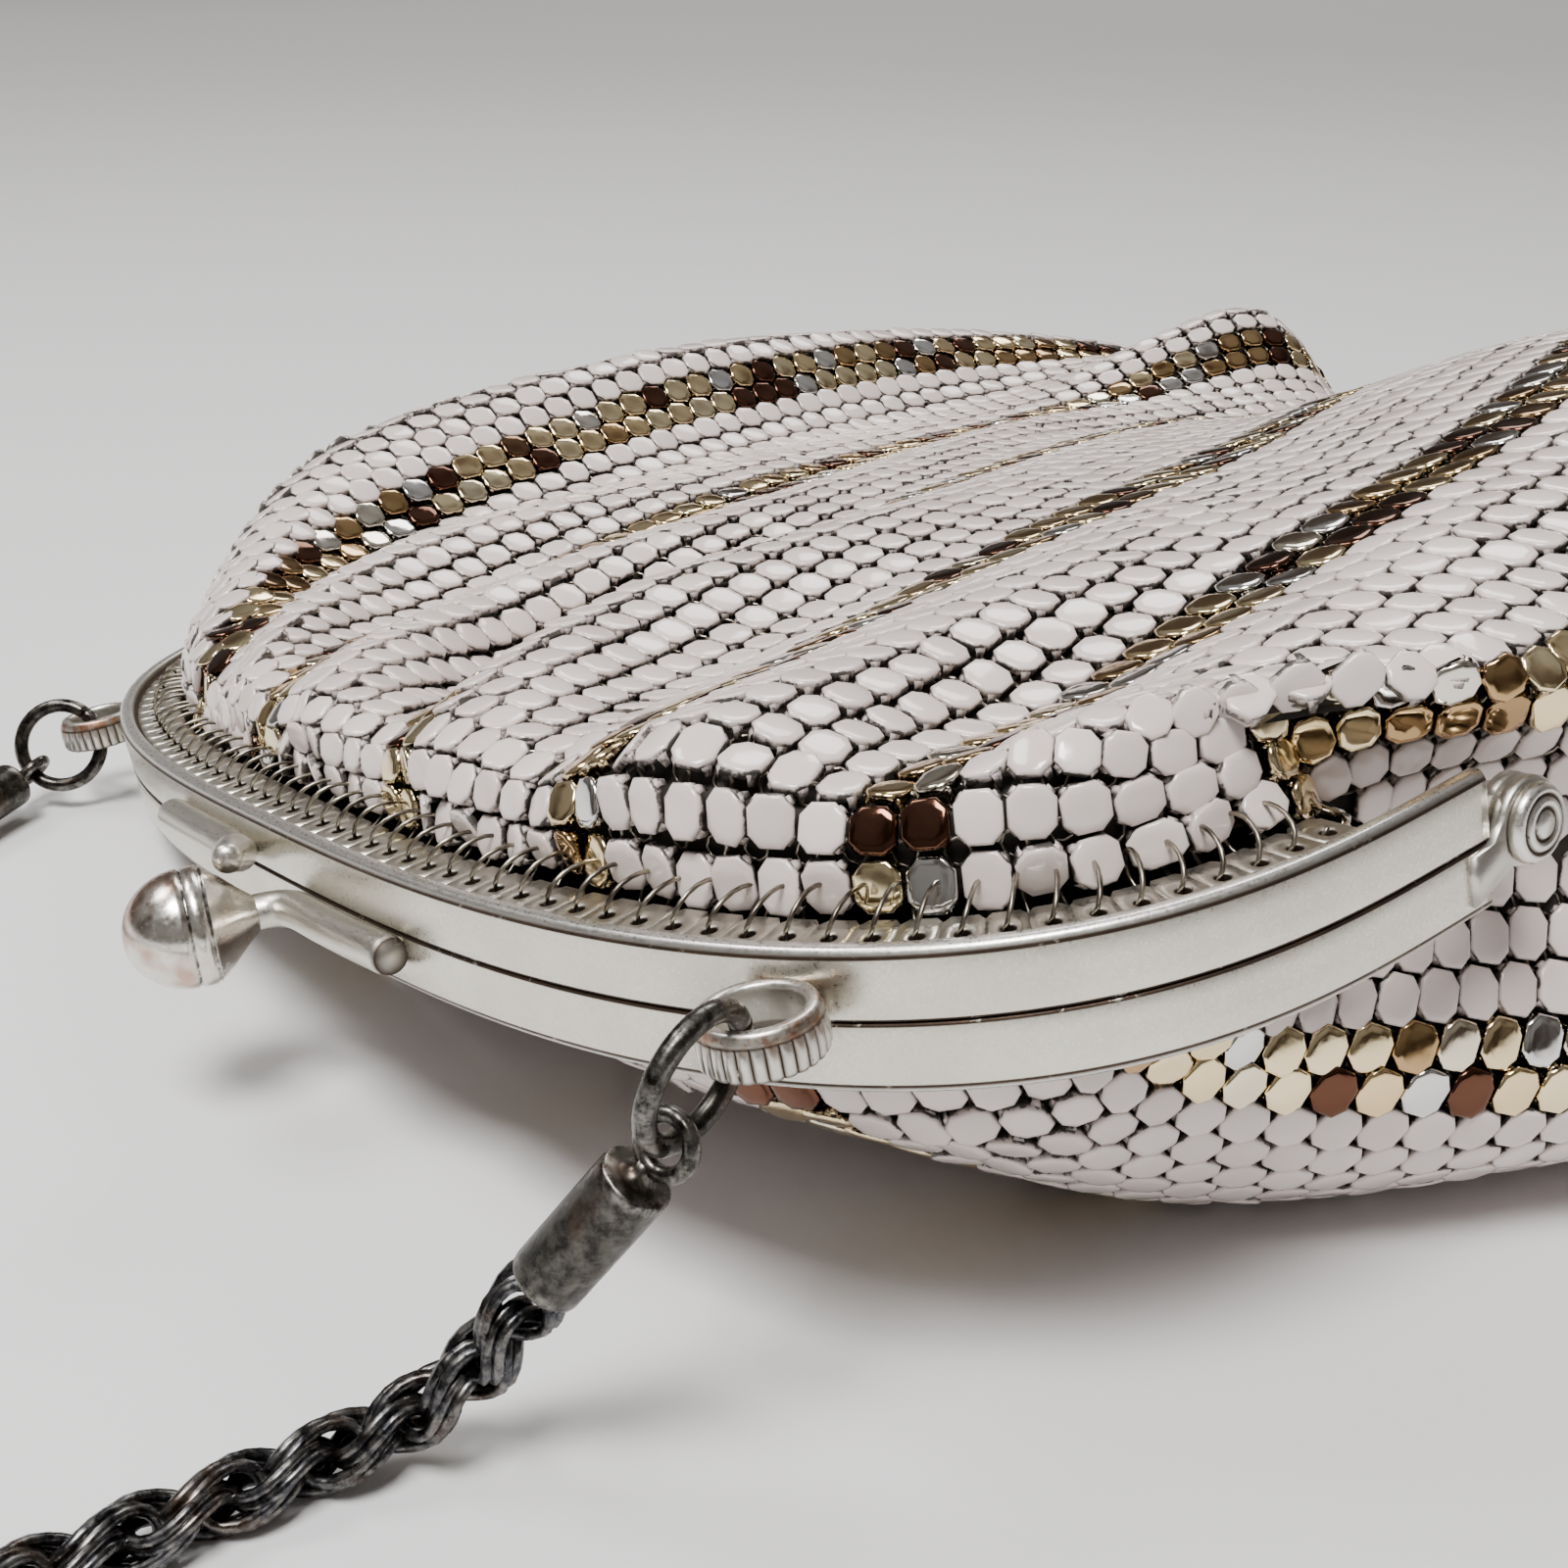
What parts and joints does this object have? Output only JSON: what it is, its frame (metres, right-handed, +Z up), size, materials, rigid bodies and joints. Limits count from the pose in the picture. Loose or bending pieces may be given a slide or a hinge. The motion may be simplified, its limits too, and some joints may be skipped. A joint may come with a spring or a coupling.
{
  "type": "metal mesh purse",
  "caption": "Closed mesh purse lying on its back: arched metal frame with ball catch, gathered bag of linked enamelled plates, rope chain handle on jump rings.",
  "frame": {"origin": "on the table, on the bag's flat underside, below the middle of the frame's hinge line", "axes": "+Z up from the table, +Y from the catch towards the bag's bottom, +X towards the right hinge seen from above with the catch near the viewer"},
  "size_m": [0.1774, 0.3111, 0.0459],
  "materials": {
    "frame": "satin, worn plating",
    "plates": "glossy enamel",
    "fittings": "tarnished",
    "chain": "tarnished"
  },
  "bodies": {
    "root": {"frame_front_half": "frame", "frame_back_half": "frame", "hinge_rivet_left": "frame", "hinge_rivet_right": "frame", "mesh_bag": "plates", "jump_ring_left": "fittings", "jump_ring_right": "fittings", "chain_end_cap_left": "fittings", "chain_end_cap_right": "fittings", "chain": "chain"}
  },
  "joints": []
}
